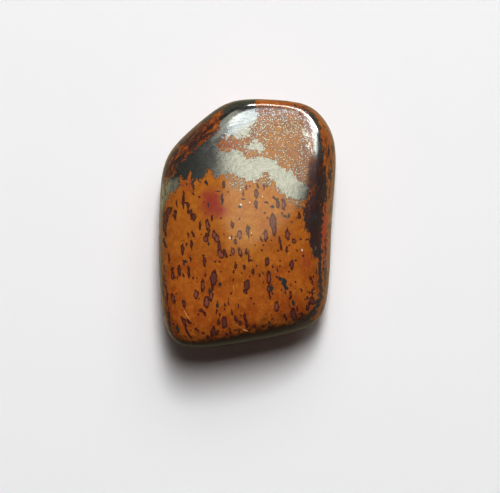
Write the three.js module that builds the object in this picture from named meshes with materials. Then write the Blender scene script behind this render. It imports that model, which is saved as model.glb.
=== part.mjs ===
// A tumbled mugglestone: one flat, rounded pebble of orange jasper and silvery hematite.
// Units are millimetres. +Z is up, +Y runs from the stone's broad foot to its narrower head, and the
// origin is under the middle of its outline, on the surface that it rests on.

import * as THREE from 'three';
import { mergeVertices } from 'three/addons/utils/BufferGeometryUtils.js';

// Overall size of the stone, and the height of the point that its skin is built around.
const WIDTH = 18;
const LENGTH = 25;
const HEIGHT = 11;
const MIDDLE_HEIGHT = 5.9;

// Each of the icosahedron's 20 faces is divided into (SKIN_DETAIL + 1) squared triangles.
const SKIN_DETAIL = 19;

// Tumbling has worn the broken faces flat and their edges round. Each facet's outward direction is given
// by its azimuth, counted from +X towards +Y, and its elevation above the horizontal, in degrees. Its
// distance is from the stone's middle, and a higher sharpness leaves a tighter edge with its neighbours.
const FACETS = [
  { name: 'crown', azimuth: 88, elevation: 82, distance: 5.1, sharpness: 1 },
  { name: 'brow', azimuth: 84, elevation: 65.73, distance: 7.65, sharpness: 1.2 },
  { name: 'lip', azimuth: 266, elevation: 80.66, distance: 6.57, sharpness: 1 },
  { name: 'left bevel', azimuth: 150, elevation: 62, distance: 7.51, sharpness: 1 },
  { name: 'left shoulder', azimuth: 180, elevation: 51.98, distance: 9.64, sharpness: 0.9 },
  { name: 'right bevel', azimuth: 5, elevation: 66.56, distance: 7.42, sharpness: 0.67 },
  { name: 'right shoulder', azimuth: -2, elevation: 43.97, distance: 9.34, sharpness: 0.6 },
  { name: 'right flank', azimuth: -3.2, elevation: 14.16, distance: 8.47, sharpness: 1.41 },
  { name: 'head', azimuth: 86.5, elevation: -2, distance: 12.78, sharpness: 1.98 },
  { name: 'head corner', azimuth: 38, elevation: 10, distance: 12.57, sharpness: 1.4 },
  { name: 'diagonal', azimuth: 131, elevation: 11.39, distance: 10.87, sharpness: 1.1 },
  { name: 'left', azimuth: 178.5, elevation: 4, distance: 9.01, sharpness: 1.24 },
  { name: 'lower left', azimuth: 191, elevation: 1, distance: 10.79, sharpness: 1.6 },
  { name: 'foot', azimuth: 279.86, elevation: -4, distance: 11.66, sharpness: 1.43 },
  { name: 'foot shoulder', azimuth: 281.81, elevation: 35.38, distance: 11.38, sharpness: 1.55 },
  { name: 'heel', azimuth: 234, elevation: -3, distance: 14.55, sharpness: 0.75 },
  { name: 'foot corner', azimuth: 326.11, elevation: 0, distance: 12.93, sharpness: 1.97 },
  { name: 'foot corner shoulder', azimuth: 310.05, elevation: 28.88, distance: 11.57, sharpness: 1.55 },
  { name: 'base', azimuth: 0, elevation: -90, distance: 6.2, sharpness: 0.6 },
  { name: 'right undercut', azimuth: -3, elevation: -40, distance: 8.65, sharpness: 0.9 },
  { name: 'head undercut', azimuth: 88, elevation: -42, distance: 11.45, sharpness: 0.9 },
  { name: 'left undercut', azimuth: 180, elevation: -42, distance: 9.55, sharpness: 0.9 },
  { name: 'foot undercut', azimuth: 280, elevation: -46, distance: 10.95, sharpness: 0.9 },
  { name: 'diagonal undercut', azimuth: 131, elevation: -42, distance: 10.65, sharpness: 0.9 },
  { name: 'heel undercut', azimuth: 226, elevation: -44, distance: 11.55, sharpness: 0.9 },
  { name: 'foot corner undercut', azimuth: 325, elevation: -44, distance: 10.55, sharpness: 0.9 },
];

// Shallow hollows left in the worn faces: the centre, how far each reaches along X, Y and Z, and its depth.
const HOLLOWS = [
  { name: 'waist of the right side', centre: [9, 0, 4.5], reach: [3, 4, 3.5], depth: 0.14 },
  { name: 'dip above the heel', centre: [-5.5, -5.5, 10], reach: [3.4, 2.6, 3], depth: 0.1 },
  { name: 'dip beside the brow', centre: [2.5, 4.5, 10], reach: [2.6, 3.2, 3], depth: 0.08 },
  { name: 'pit under the left side', centre: [-7.5, 2, 1.8], reach: [1.6, 2.4, 1.4], depth: 0.28 },
  { name: 'dent in the foot', centre: [2.5, -11.6, 3.6], reach: [2.6, 1.6, 1.5], depth: 0.22 },
];

// The solver starts outside the stone and steps inwards until it no longer moves.
const FAR_OUTSIDE = 30;
const SOLVER_STEPS = 60;

const middle = new THREE.Vector3(0, 0, MIDDLE_HEIGHT);

const planes = FACETS.map(({ azimuth, elevation, distance, sharpness }) => {
  const turn = THREE.MathUtils.degToRad(azimuth);
  const rise = THREE.MathUtils.degToRad(elevation);
  const normal = new THREE.Vector3(
    Math.cos(rise) * Math.cos(turn),
    Math.cos(rise) * Math.sin(turn),
    Math.sin(rise),
  );
  return { normal, distance, sharpness };
});

// How far out of the middle the blended facets lie along a direction. The blend is where the sum of
// exp(sharpness * height above the facet) is 1, which rounds every edge between two facets.
function skinDistance(direction) {
  let reach = FAR_OUTSIDE;
  for (let step = 0; step < SOLVER_STEPS; step += 1) {
    let sum = 0;
    let slope = 0;
    for (const { normal, distance, sharpness } of planes) {
      const facing = normal.dot(direction);
      const weight = Math.exp(sharpness * (facing * reach - distance));
      sum += weight;
      slope += weight * sharpness * facing;
    }
    reach -= (Math.log(sum) * sum) / slope;
  }
  return reach;
}

// How deep the hollows are at a point of the skin.
function hollowDepth(point) {
  let depth = 0;
  for (const hollow of HOLLOWS) {
    const [x, y, z] = hollow.centre;
    const [reachX, reachY, reachZ] = hollow.reach;
    const away = ((point.x - x) / reachX) ** 2
      + ((point.y - y) / reachY) ** 2
      + ((point.z - z) / reachZ) ** 2;
    depth += hollow.depth * Math.exp(-away);
  }
  return depth;
}

// The point of the skin that is seen from the middle along a direction, cut off by the resting plane,
// which leaves the small flat spot that the stone lies on.
function skinPoint(direction) {
  let reach = skinDistance(direction);
  const point = direction.clone().multiplyScalar(reach).add(middle);
  reach -= hollowDepth(point);
  if (direction.z < 0) {
    reach = Math.min(reach, MIDDLE_HEIGHT / -direction.z);
  }
  point.copy(direction).multiplyScalar(reach).add(middle);
  if (Math.abs(point.z) < 1e-6) {
    point.z = 0;
  }
  return point;
}

// An icosahedron's directions, stretched to the stone's proportions, are moved out to the skin.
function makeStoneGeometry() {
  const sphere = new THREE.IcosahedronGeometry(1, SKIN_DETAIL);
  sphere.deleteAttribute('normal');
  sphere.deleteAttribute('uv');
  const geometry = mergeVertices(sphere, 1e-5);
  const position = geometry.getAttribute('position');
  const direction = new THREE.Vector3();
  for (let index = 0; index < position.count; index += 1) {
    direction.fromBufferAttribute(position, index);
    direction.multiply(new THREE.Vector3(WIDTH, LENGTH, HEIGHT)).normalize();
    const point = skinPoint(direction);
    position.setXYZ(index, point.x, point.y, point.z);
  }
  return centreOverOrigin(geometry);
}

// The middle of the outline goes over the origin. The flat spot stays at height 0.
function centreOverOrigin(geometry) {
  geometry.computeBoundingBox();
  const centre = geometry.boundingBox.getCenter(new THREE.Vector3());
  geometry.translate(-centre.x, -centre.y, 0);
  geometry.computeVertexNormals();
  return geometry;
}

// Polished stone: mostly orange-brown jasper.
const polishedStone = new THREE.MeshStandardMaterial({
  name: 'polished jasper and hematite',
  color: 0x8f5220,
  roughness: 0.16,
  metalness: 0.0,
});

const stone = new THREE.Mesh(makeStoneGeometry(), polishedStone);
stone.name = 'mugglestone';

const part = new THREE.Group();
part.name = 'mugglestone_part';
part.add(stone);

export default part;
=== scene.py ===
"""A tumbled mugglestone, orange jasper with silvery hematite, lying on pale paper and seen from above.

The stone's skin is the part's own blend of facets, made finer. Its markings are placed in Python as
distances on that skin, and the material turns them into colour, metal, roughness and relief.
"""
import math

import bpy
import numpy as np
from mathutils import Matrix, Vector


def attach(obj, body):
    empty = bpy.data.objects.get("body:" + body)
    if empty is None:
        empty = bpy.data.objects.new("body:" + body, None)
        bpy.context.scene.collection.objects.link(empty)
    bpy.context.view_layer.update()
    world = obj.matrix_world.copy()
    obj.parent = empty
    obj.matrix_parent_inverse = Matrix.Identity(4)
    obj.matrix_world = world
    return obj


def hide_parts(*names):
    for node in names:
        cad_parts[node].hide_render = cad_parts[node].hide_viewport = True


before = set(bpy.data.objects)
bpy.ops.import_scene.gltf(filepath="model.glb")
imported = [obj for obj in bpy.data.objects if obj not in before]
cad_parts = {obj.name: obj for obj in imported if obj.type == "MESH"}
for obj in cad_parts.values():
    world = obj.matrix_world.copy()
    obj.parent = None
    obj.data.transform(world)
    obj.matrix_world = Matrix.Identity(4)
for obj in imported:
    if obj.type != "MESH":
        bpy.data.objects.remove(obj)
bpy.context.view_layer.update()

MM = 0.001

# The stone's own shape, in millimetres, as in the part's source.
WIDTH = 18.0
LENGTH = 25.0
HEIGHT = 11.0
MIDDLE_HEIGHT = 5.9

# Each facet's azimuth and elevation in degrees, its distance from the middle, and its sharpness.
FACETS = {
    "crown": (88, 82, 5.1, 1),
    "brow": (84, 65.73, 7.65, 1.2),
    "lip": (266, 80.66, 6.57, 1),
    "left bevel": (150, 62, 7.51, 1),
    "left shoulder": (180, 51.98, 9.64, 0.9),
    "right bevel": (5, 66.56, 7.42, 0.67),
    "right shoulder": (-2, 43.97, 9.34, 0.6),
    "right flank": (-3.2, 14.16, 8.47, 1.41),
    "head": (86.5, -2, 12.78, 1.98),
    "head corner": (38, 10, 12.57, 1.4),
    "diagonal": (131, 11.39, 10.87, 1.1),
    "left": (178.5, 4, 9.01, 1.24),
    "lower left": (191, 1, 10.79, 1.6),
    "foot": (279.86, -4, 11.66, 1.43),
    "foot shoulder": (281.81, 35.38, 11.38, 1.55),
    "heel": (234, -3, 14.55, 0.75),
    "foot corner": (326.11, 0, 12.93, 1.97),
    "foot corner shoulder": (310.05, 28.88, 11.57, 1.55),
    "base": (0, -90, 6.2, 0.6),
    "right undercut": (-3, -40, 8.65, 0.9),
    "head undercut": (88, -42, 11.45, 0.9),
    "left undercut": (180, -42, 9.55, 0.9),
    "foot undercut": (280, -46, 10.95, 0.9),
    "diagonal undercut": (131, -42, 10.65, 0.9),
    "heel undercut": (226, -44, 11.55, 0.9),
    "foot corner undercut": (325, -44, 10.55, 0.9),
}

# Shallow hollows: centre, reach along each axis, and depth.
HOLLOWS = {
    "waist of the right side": ((9, 0, 4.5), (3, 4, 3.5), 0.14),
    "dip above the heel": ((-5.5, -5.5, 10), (3.4, 2.6, 3), 0.1),
    "dip beside the brow": ((2.5, 4.5, 10), (2.6, 3.2, 3), 0.08),
    "pit under the left side": ((-7.5, 2, 1.8), (1.6, 2.4, 1.4), 0.28),
    "dent in the foot": ((2.5, -11.6, 3.6), (2.6, 1.6, 1.5), 0.22),
}

# The solver starts outside the stone and steps inwards until it no longer moves, in millimetres.
FAR_OUTSIDE = 30.0
SOLVER_STEPS = 60
SOLVER_GRAIN = 1e-9

# How fine the skin is: rows per icosahedron face, then how often the faces that look up are split again.
SKIN_ROWS = 37
UPPER_SPLITS = 2
UPPER_NORMAL_Z = 0.22

# In how many steps the rim is measured round the stone.
RIM_STEPS = 720

# The view: straight down, over the middle of the paper. Marks are placed as this view shows them, so
# their positions are read in the photograph's pixels, counted from its upper left corner.
CAMERA_HEIGHT = 300.0
PIXELS_PER_MM = 9.8
VIEW_CENTRE_PX = (250.0, 246.5)
STONE_CENTRE_PX = (247.4, 223.5)
RIM_HEIGHT = 5.0
FRAME_WIDTH_PX = 500
SENSOR_WIDTH = 36.0
NEAREST_SEEN = 0.01

# Markings, in the photograph's pixels

# Hematite over the head: a dark field along the cut-off corner and a silvery band across the brow.
IRON_HEAD = [
    (222, 107), (232, 102), (241, 99), (250, 97), (256, 97), (256, 108), (258, 113), (257.5, 118),
    (256, 122.5), (252, 125), (250.5, 130), (249, 133), (248.5, 137.5), (244.5, 138.5), (243, 136),
    (241, 137), (240.5, 140), (236, 139), (233, 136.5), (231.5, 131), (229, 137), (226, 138.5),
    (223, 137), (221, 140), (219, 142.5), (217, 146), (219, 150), (224, 152), (229, 152),
    (233, 149.5), (240.5, 149), (244, 154.5), (247, 158), (252, 159), (256, 157.5), (260, 158),
    (263, 156), (268, 158), (272, 158.5), (276, 160.5), (278, 164.5), (281, 167), (285, 169.5),
    (291, 170), (294, 174), (297, 178.5), (301, 181), (304, 184), (307.5, 184.5), (308.5, 190),
    (307.5, 197), (304, 201), (299, 200), (294, 200), (288, 197.5), (284, 194), (280, 191),
    (278, 187), (275, 182.5), (271, 178), (267, 173), (265, 172), (262, 177), (257, 178.5),
    (256, 181), (251, 182), (247, 181), (244.5, 178.5), (241, 178), (236, 176), (232, 173),
    (228, 172), (225, 175.5), (221, 174), (218, 178), (215, 180), (214, 177), (212, 172),
    (209.5, 169.5), (206, 171), (205, 176), (202, 179), (198, 179.5), (195, 180), (193, 184),
    (193.3, 190), (192.3, 189), (192, 181), (191.5, 176), (190.8, 171), (188.5, 171.5),
    (188, 178), (186, 181.5), (183, 179), (181, 176), (179.5, 178.5), (180, 184), (178.5, 187),
    (175, 189), (172, 190.5), (169, 195), (166, 201), (164.5, 206), (162, 212), (160.5, 222),
    (156, 224), (156, 204), (159, 190), (163, 181), (167, 181), (169, 178.5), (172, 176),
    (174, 171), (176, 168), (178, 164), (181, 161.5), (184, 160.5), (187, 156), (191, 153),
    (194, 148.5), (199, 144.5), (203, 141.5), (207, 140), (207, 135), (212, 132), (217, 133),
    (220, 128), (219, 121), (221, 115),
]

# The patch of hematite that reaches over the brow beside the grainy tongue.
IRON_PATCHES = [
    [(244, 146), (248, 144), (252, 143.5), (254, 140.5), (256.5, 139), (258, 142), (262, 143.5),
     (264.5, 147.5), (264, 150), (261, 152.5), (257.5, 152), (253, 150), (248, 149), (245, 148)],
    [(302.5, 129), (304.5, 130.5), (306.5, 134), (307.5, 138), (306, 140.5), (303.8, 139.5),
     (303.3, 134)],
    [(308.5, 140.5), (311, 139.5), (311.5, 143), (310.5, 147), (308.5, 150), (306.3, 148.5),
     (306.5, 145)],
    [(295, 202), (299, 202.5), (300, 206), (298.5, 208.5), (296.5, 206.5)],
]

# The dark vein that runs round the right shoulder from the head to the foot.
IRON_VEIN = [
    (302, 106.5), (309, 109.8), (314, 114.2), (317, 119.4), (319, 125), (320.3, 131), (321.8, 136.5),
    (322.8, 143), (323, 150), (323.5, 157), (324.5, 163), (325, 170), (326, 177), (326.8, 184),
    (326.5, 190), (324.5, 196), (323.3, 202), (323, 212), (322.8, 222), (321.8, 232), (321.3, 242),
    (321.6, 250), (323, 260), (322.8, 270), (323, 280), (323, 288), (322.4, 296), (320.6, 304),
    (317.4, 311), (313, 317), (307.5, 322), (302, 325.5), (296, 327.5), (297, 322.5),
    (302, 319.5), (308, 314.5), (312, 310), (315.5, 304.5), (318, 299), (319.3, 292), (318.6, 285),
    (318, 277), (317.8, 268), (317.5, 259), (314, 257), (313, 254), (315, 250), (316.5, 247),
    (314, 243.5), (313.5, 249), (310.5, 247), (309, 243), (309.2, 236), (309.5, 232), (307, 229),
    (305.5, 225), (303.8, 221), (304.5, 214), (302.8, 211), (304, 207), (306, 206.5), (306.5, 202),
    (308, 198), (309, 190), (309.5, 180), (310, 170), (311.5, 163), (312.5, 157), (312.8, 150),
    (312.2, 140), (312, 130), (311, 127), (309.2, 124), (308.5, 118), (307.5, 113), (303, 109),
]

# Grainy jasper full of tiny hematite specks: outline and the share of specks.
GRAINY_ZONES = [
    ([(252, 103), (300, 106), (313, 112), (312, 130), (313, 155), (309, 166), (309, 184), (300, 183),
      (291, 172), (280, 168), (274, 160), (262, 157), (246, 159), (242, 150), (248, 138),
      (250, 127), (257, 121)], 0.36),
    ([(256, 104), (312, 110), (309, 126), (300, 128), (284, 138), (270, 133), (262, 139), (249, 140),
      (250, 127), (257, 121)], 0.60),
    ([(292, 158), (311, 158), (309, 186), (298, 180), (291, 170)], 0.44),
    ([(216, 141), (222, 134), (231, 130), (246, 136), (247, 150), (232, 150), (226, 153),
      (217, 150)], 0.36),
    ([(241, 148), (262, 150), (260, 160), (246, 161)], 0.45),
    ([(226, 168), (246, 170), (247, 184), (240, 192), (230, 190), (226, 178)], 0.46),
    ([(253, 174), (268, 169), (280, 184), (284, 194), (278, 194), (268, 186), (256, 184)], 0.46),
    ([(278, 194), (306, 197), (306, 210), (294, 208), (284, 202)], 0.33),
    ([(166, 176), (182, 172), (182, 190), (168, 202), (160, 214), (160, 184)], 0.22),
]

# Streaked zones along the rim: outline, lean (0 is half hematite, below that more jasper), strength.
STREAKED_ZONES = [
    ([(158, 190), (160, 172), (166, 154), (178, 138), (200, 118), (214, 106), (224, 102), (224, 112),
      (219, 120), (220, 128), (214, 136), (206, 141), (198, 146), (192, 153), (186, 159), (179, 165),
      (175, 173), (171, 180), (165, 186)], 0.015, 1.0),
    ([(308, 160), (320, 158), (326, 168), (328, 190), (325, 206), (313, 204), (308, 190)], 0.10, 0.8),
    ([(312, 206), (322, 206), (322, 240), (311, 238)], 0.22, 0.5),
    ([(323, 214), (331, 212), (331, 250), (323, 250)], -0.3, 1.0),
    ([(310, 100), (322, 113), (325, 150), (328, 190), (325, 205), (324, 300), (319, 312), (308, 324),
      (318, 332), (345, 310), (350, 220), (350, 130), (330, 100)], -0.105, 1.0),
    ([(150, 180), (166, 184), (165, 205), (161, 228), (160, 250), (150, 250)], 0.02, 0.9),
    ([(150, 245), (161, 245), (165, 262), (166, 290), (172, 318), (182, 336), (172, 350),
      (150, 320)], -0.06, 0.85),
]

# Patches of red jasper: centre, reach and strength.
RED_PATCHES = [
    ((211.5, 203), (12, 15), 0.95), ((219, 211), (10, 8), 0.85), ((206, 196), (6, 7), 0.8),
    ((228, 198), (5, 8), 0.3), ((190, 184), (2.2, 8), 0.75), ((183.5, 185), (2, 6), 0.65),
    ((212, 259), (7, 5), 0.42), ((307, 262), (9, 9), 0.45),
    ((318, 172), (3, 10), 0.7), ((230, 144), (13, 6), 0.55), ((245, 152), (4, 5), 0.5),
    ((297, 174), (4, 6), 0.5), ((300, 155), (14, 10), 0.25), ((294, 314), (8, 7), 0.4),
    ((311, 302), (6, 7), 0.5),
]

# A streak of brighter orange-red down the right side.
EMBER_PATCHES = [((324.2, 231), (3.6, 34), 0.9), ((324, 268), (2.2, 14), 0.6)]

# Spots are strokes from one end to the other, with half the width. Filled purple ones first.
PURPLE_SPOTS = [
    (183.3, 192.5, 183.6, 199.5, 1.3), (183, 200, 183.5, 208, 1.2), (185.3, 203, 187.6, 202.4, 1.1),
    (188, 203, 188.2, 208, 1.4), (188.2, 209, 188.5, 213.4, 1.1), (190.7, 210.5, 191.2, 215, 1.6),
    (193.8, 215, 194, 219.5, 2.1), (176.2, 201, 177.4, 207.3, 0.9), (175.3, 211, 175, 219.3, 1.5),
    (173.2, 215.6, 174.5, 215.4, 1.1), (170.2, 209, 166.6, 214, 2.5), (166.3, 214, 164.9, 222, 2.4),
    (164.9, 222, 164.5, 230, 1.8), (164.8, 230, 166, 236.5, 0.8), (243.3, 191, 243.2, 195.4, 0.9),
    (242.2, 199.2, 244.3, 199.2, 0.9), (239.5, 217.7, 239.5, 219.8, 0.8), (212, 216, 211.7, 221, 0.9),
    (200.4, 222.3, 199.7, 229.4, 1.2), (231.7, 221.5, 232.8, 227.3, 1.4), (188.3, 232.6, 187.9, 236.6, 1),
    (192.2, 231.5, 194, 236, 1.35), (208.8, 231, 208.4, 236, 1.3), (205.8, 233.6, 206.6, 236, 1.1),
    (219, 242, 219.5, 250, 1.8), (191.6, 240.5, 191.6, 248.4, 1.25), (182.6, 246, 182.3, 253.4, 1.8),
    (186.4, 243, 186.4, 246, 0.7), (163.9, 238, 164.2, 243, 1.0), (164.4, 243, 165.9, 246.8, 1.3),
    (168.8, 254.5, 169.7, 263, 0.9), (190.2, 256.3, 190.9, 261, 0.9), (178.9, 267, 179.4, 274.2, 1.7),
    (177.5, 276, 177.5, 278.6, 0.8), (183.4, 273.7, 183.6, 276.2, 0.95), (188.6, 267.5, 189, 276.3, 1.5),
    (193, 277.6, 193, 279.6, 0.9), (205.3, 273.5, 205.6, 276.8, 0.8), (215, 270, 215.2, 272, 0.8),
    (213.7, 275, 213.6, 281.5, 3.4), (212.3, 285, 212.2, 289.6, 1.3), (235.7, 262.5, 235.8, 268.4, 1.3),
    (233.7, 270.6, 233.6, 272.2, 0.9), (233.3, 278.3, 233.3, 280.4, 1.0), (244.1, 265.6, 244.2, 268.2, 1.4),
    (246.3, 249, 246.2, 254, 1.25), (248.9, 252, 248.8, 263, 1.0), (249.6, 259.9, 252.2, 260.1, 0.8),
    (248.6, 233, 248.6, 239, 0.9), (247.4, 227, 247.7, 233, 1.7), (256.2, 191.2, 256.4, 197, 2.0),
    (255.8, 201, 256.3, 207.6, 1.6), (266.4, 202.2, 267.7, 203.3, 1.25), (273.3, 197.4, 277, 200, 1.1),
    (277.5, 200, 278.2, 207.2, 1.7), (282, 213, 282.4, 213.6, 1.1), (299, 213.3, 299.7, 218.4, 1.3),
    (272.6, 217.5, 273.2, 226, 3.5), (273.7, 226, 274.4, 234.4, 2.2), (260.4, 237, 262, 241.4, 0.9),
    (279.2, 238, 280.2, 243, 1.4), (280.3, 243, 281.6, 249.4, 1.2), (286.9, 246, 286.6, 252.8, 1.2),
    (267, 259.5, 267.1, 264, 2.1), (291.6, 262.5, 291.9, 268, 2.3), (273, 265.4, 273.2, 268, 0.8),
    (253, 269.8, 253, 273.4, 1.6), (256.7, 265.6, 256.8, 266.4, 0.9), (259.3, 274.6, 259.4, 276.6, 0.8),
    (250, 276.3, 250.1, 277, 0.8), (247.2, 282.5, 246.4, 288, 2.9), (244.6, 291.3, 246, 292.8, 1.7),
    (276.6, 277.2, 276.8, 277.6, 1.0), (290.7, 284.4, 290.8, 286.8, 0.8), (301.3, 288.8, 301.3, 291.4, 1),
    (310.4, 277.4, 311.2, 280.2, 1.0), (313, 276.6, 314, 277.4, 0.9), (312.2, 281.3, 312.4, 283.6, 1.0),
    (307, 291.2, 308, 291.6, 0.8), (307.2, 296.6, 307.5, 298.2, 1.2), (312, 290.6, 312.2, 294.4, 1.3),
    (314, 287.6, 314.2, 289.6, 0.9), (316.3, 268.4, 316.4, 270.6, 0.7), (270, 294, 270.1, 298.2, 0.95),
    (183.6, 301.6, 184.6, 307, 1.7), (200.6, 310.6, 202, 310.4, 1.7), (204.2, 311.6, 205.3, 316.2, 1.2),
    (224.9, 303.8, 225.1, 305.2, 1.3), (228.4, 301.8, 228.2, 305, 0.8), (238.3, 304.6, 238.4, 307.2, 1.0),
    (216.5, 310.6, 216.8, 313.8, 1.1), (219.5, 314.2, 219.6, 316.4, 1.0), (231.6, 310, 232.8, 315, 0.9),
    (181, 316.4, 181.8, 318.6, 1.1), (183.6, 319.6, 184.8, 324.4, 1.9), (186, 325, 186.1, 328.2, 1.1),
    (187.6, 319.4, 190.4, 323.6, 1.3), (218.6, 320, 218.6, 323.6, 1.5), (224, 319, 224.6, 326, 2.6),
    (235.2, 316.8, 236.6, 321.4, 1.7), (240, 322, 240.2, 323.6, 1.7), (244.4, 314.4, 244.8, 318.8, 1.6),
    (245.6, 319, 246.8, 327, 1.4), (196, 328.2, 196.1, 329.2, 1.1), (203.1, 332.6, 203.6, 333.4, 1.3),
    (186, 329, 188, 333.6, 1.2), (188, 333.6, 190.6, 337.6, 1.2), (213.8, 328, 212, 335, 1.9),
    (217.3, 331.6, 217.3, 333.8, 1.5), (207.5, 336.4, 207.6, 337.6, 1.7), (229.3, 328.4, 229.4, 329.4, 1),
    (230.5, 332, 230.6, 333.6, 1.2), (226.4, 333.6, 226.6, 335, 1.0), (239.3, 330.6, 239.4, 332, 1.0),
    (254.2, 326, 254.6, 327.2, 1.6), (263, 326, 263.2, 327, 1.1), (271.6, 318.6, 271.6, 320, 0.9),
    (268.6, 326.6, 268.7, 327.6, 1.0), (284.6, 314, 284.9, 317, 1.2), (286, 318.6, 286.1, 320.6, 0.8),
    (293, 311.6, 293.8, 318, 2.8), (297.2, 307, 297.4, 310.4, 1.0), (289.7, 305, 289.8, 307.2, 0.9),
    (293, 307.8, 293.1, 308.6, 0.8), (301.6, 313.4, 301.9, 314, 1.2), (312.2, 299.6, 312.8, 302.6, 2.7),
    (307.3, 306.6, 307.7, 308.6, 1.6), (309.2, 303, 309.5, 304, 1.2), (223.6, 182, 223.8, 187.4, 1.6),
    (193.5, 183, 193.6, 191, 0.9), (256.6, 184, 258.4, 188, 1.1), (263.6, 183, 264, 188.6, 1.2),
    (266.9, 185.4, 267.1, 187, 1.0), (246.5, 185, 246.4, 188.6, 0.9), (224.2, 251, 226.4, 256.4, 1.6),
    (204.2, 258, 204.7, 265.4, 1.7), (160.6, 240, 160, 255, 0.9), (159.6, 262, 160.1, 290, 1.2),
    (163.6, 275, 164.4, 283, 0.7), (164.4, 282, 166.6, 290, 0.8), (167, 290, 167.8, 303, 0.9),
    (161.8, 284, 163.6, 298, 1.0), (168, 312, 169.2, 321, 1.0), (169.2, 321, 170.6, 328, 1.1),
    (328.9, 147, 328.3, 156.5, 0.9), (332.3, 144, 332.4, 153, 0.7), (329.8, 171, 330.6, 181, 1.1),
    (325.8, 190, 326.2, 201, 0.9), (325, 206, 325.2, 213, 0.7), (326.2, 236, 325.4, 262, 0.7),
    (325.6, 270, 325.2, 285, 0.8), (331, 160, 331.6, 168, 0.6),
]

# Purple rings round a lighter core: both ends of the middle line and half the width.
RING_SPOTS = [
    (207.2, 221, 207.8, 228.5, 2.1), (205.5, 238.4, 205.6, 239.8, 2.4), (214, 232, 214.8, 238, 2.2),
    (216.6, 236.5, 217.6, 241, 2.1), (219.8, 252, 221.4, 256, 2.7), (239.3, 232.5, 239.8, 237, 2.3),
    (235.2, 240.6, 235.4, 242.8, 1.8), (232.4, 249, 233.2, 253.6, 1.8), (239.3, 249.5, 240.7, 255, 1.9),
    (172.4, 273, 172.9, 278, 1.8), (202.9, 281, 202.7, 289.6, 2.1), (196, 291.6, 196.1, 297, 2.4),
    (211.2, 292.4, 211, 299.4, 2.2), (172, 295, 174.2, 302, 1.9), (206.6, 298.6, 206.5, 305.6, 2.6),
    (283.2, 200.6, 283.9, 208, 2.0), (265.6, 231.5, 265.9, 239.6, 2.1), (287.3, 231.8, 287.8, 237.4, 2.3),
    (294, 240.4, 294.1, 241.8, 2.1), (268.8, 273.6, 268.9, 282.4, 2.3), (276.8, 303.4, 276.2, 309.6, 2.4),
    (290.5, 292.6, 291, 297, 1.6), (172.1, 268.8, 172.2, 269.4, 1.3), (268.6, 286, 268.7, 292, 1.7),
]

# How thick the wall of a ring is, in millimetres.
RING_WALL = 0.11

# Blue-black spots of hematite.
SLATE_SPOTS = [
    (193.2, 193.4, 193.4, 194.6, 1.3), (208.4, 202, 208.6, 207, 0.8), (221.8, 195, 222.4, 203.4, 1.3),
    (239.7, 205.8, 239.9, 207, 1.2), (208.7, 242, 208.7, 245, 0.85), (235.9, 236, 236.1, 237.2, 0.9),
    (231.4, 236.4, 231.5, 239.2, 0.9), (184.6, 261.2, 185.4, 261.8, 1.5), (183.7, 263, 184.2, 264.8, 0.8),
    (220, 283, 220.1, 285, 1.3), (209.3, 288.8, 209.3, 293.2, 1.2), (217, 301.6, 217.4, 304, 0.8),
    (217.3, 304.4, 217.5, 306.6, 1.4), (177, 326, 177.9, 331.6, 1.5), (206, 181.8, 206.8, 185, 1.3),
    (198.4, 181.6, 200, 181.9, 0.7), (186.4, 183.4, 186.8, 185.2, 0.9), (216, 191.6, 219.8, 191.4, 0.9),
    (271.6, 206.4, 273, 207.2, 1.6), (249.5, 227.6, 249.7, 229.8, 1.0), (278.2, 201.4, 278.3, 202.8, 1.0),
    (283.3, 215.4, 287, 217.2, 1.0), (289, 214.6, 289.2, 216, 1.4), (290.6, 221, 292.6, 223, 0.8),
    (277.8, 268, 277.6, 271.4, 1.0), (263.2, 280.4, 263.4, 283, 0.8), (271.4, 286, 271.3, 290.2, 1.6),
    (279.8, 277.8, 280.3, 279.6, 1.5), (284, 280.4, 284.6, 285, 2.4), (284.8, 285, 286.2, 288.6, 1.9),
    (281.4, 290, 281.5, 291, 0.8), (285.2, 291.4, 285.4, 293.4, 0.9), (287, 288, 287.2, 289.2, 0.9),
    (292.8, 301.6, 293.6, 304, 1.6), (269.6, 322, 269.8, 323.2, 1.3), (316.6, 251, 314.6, 256, 1.6),
    (307, 202.4, 305.6, 206.4, 0.7), (294.6, 105, 296.4, 105.4, 1.1),
]

# Small pale grains, and pale lines where the skin is scratched. On the nick in the foot's rim the pale line
# is also a painted highlight of its facet catching the light.
PALE_GRAINS = [
    (240.6, 204.4, 241.2, 205, 0.75), (229.8, 237.6, 230, 238.4, 0.8), (249.6, 202.1, 249.9, 202.5, 0.5),
    (262.4, 196.4, 262.6, 196.7, 0.5), (302, 249.4, 302.2, 250.8, 0.6), (251.4, 232.8, 251.6, 233, 0.45),
    (240.2, 189.6, 240.6, 190.4, 0.6), (239.2, 221, 239.4, 221.2, 0.4),
]
SCRATCHES_AND_HIGHLIGHTS = [
    (183.4, 309.4, 190.4, 320.8, 0.5), (243, 329.3, 247.4, 331, 0.75), (236.4, 324.6, 243, 329.2, 0.3),
    (233.5, 284.5, 233.9, 290.5, 0.3),
]

# The purplish grey border of the grainy jasper.
MAUVE_PATCHES = [
    ((251.5, 124), (4, 15), 0.8), ((308, 128), (4.5, 16), 0.85), ((305, 148), (5, 16), 0.8),
    ((272, 110), (24, 4.5), 0.5), ((220, 136), (4, 6), 0.5), ((300, 170), (5, 9), 0.6),
]

# Where the jasper is more golden: centre, reach and strength.
GOLD_PATCHES = [((240, 205), (110, 55), 0.8), ((248, 230), (28, 48), 1.0), ((205, 248), (24, 20), 0.6)]

# Painted reflection: where the hematite is made paler along the left edge, standing in for the lit paper
# mirrored there.
PAINTED_REFLECTION_PATCH = [
    (178, 178), (181, 184), (176, 191), (169, 198), (165, 207), (162, 216), (160, 228), (157, 246),
    (150, 246), (150, 200), (158, 185), (166, 179),
]
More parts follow.
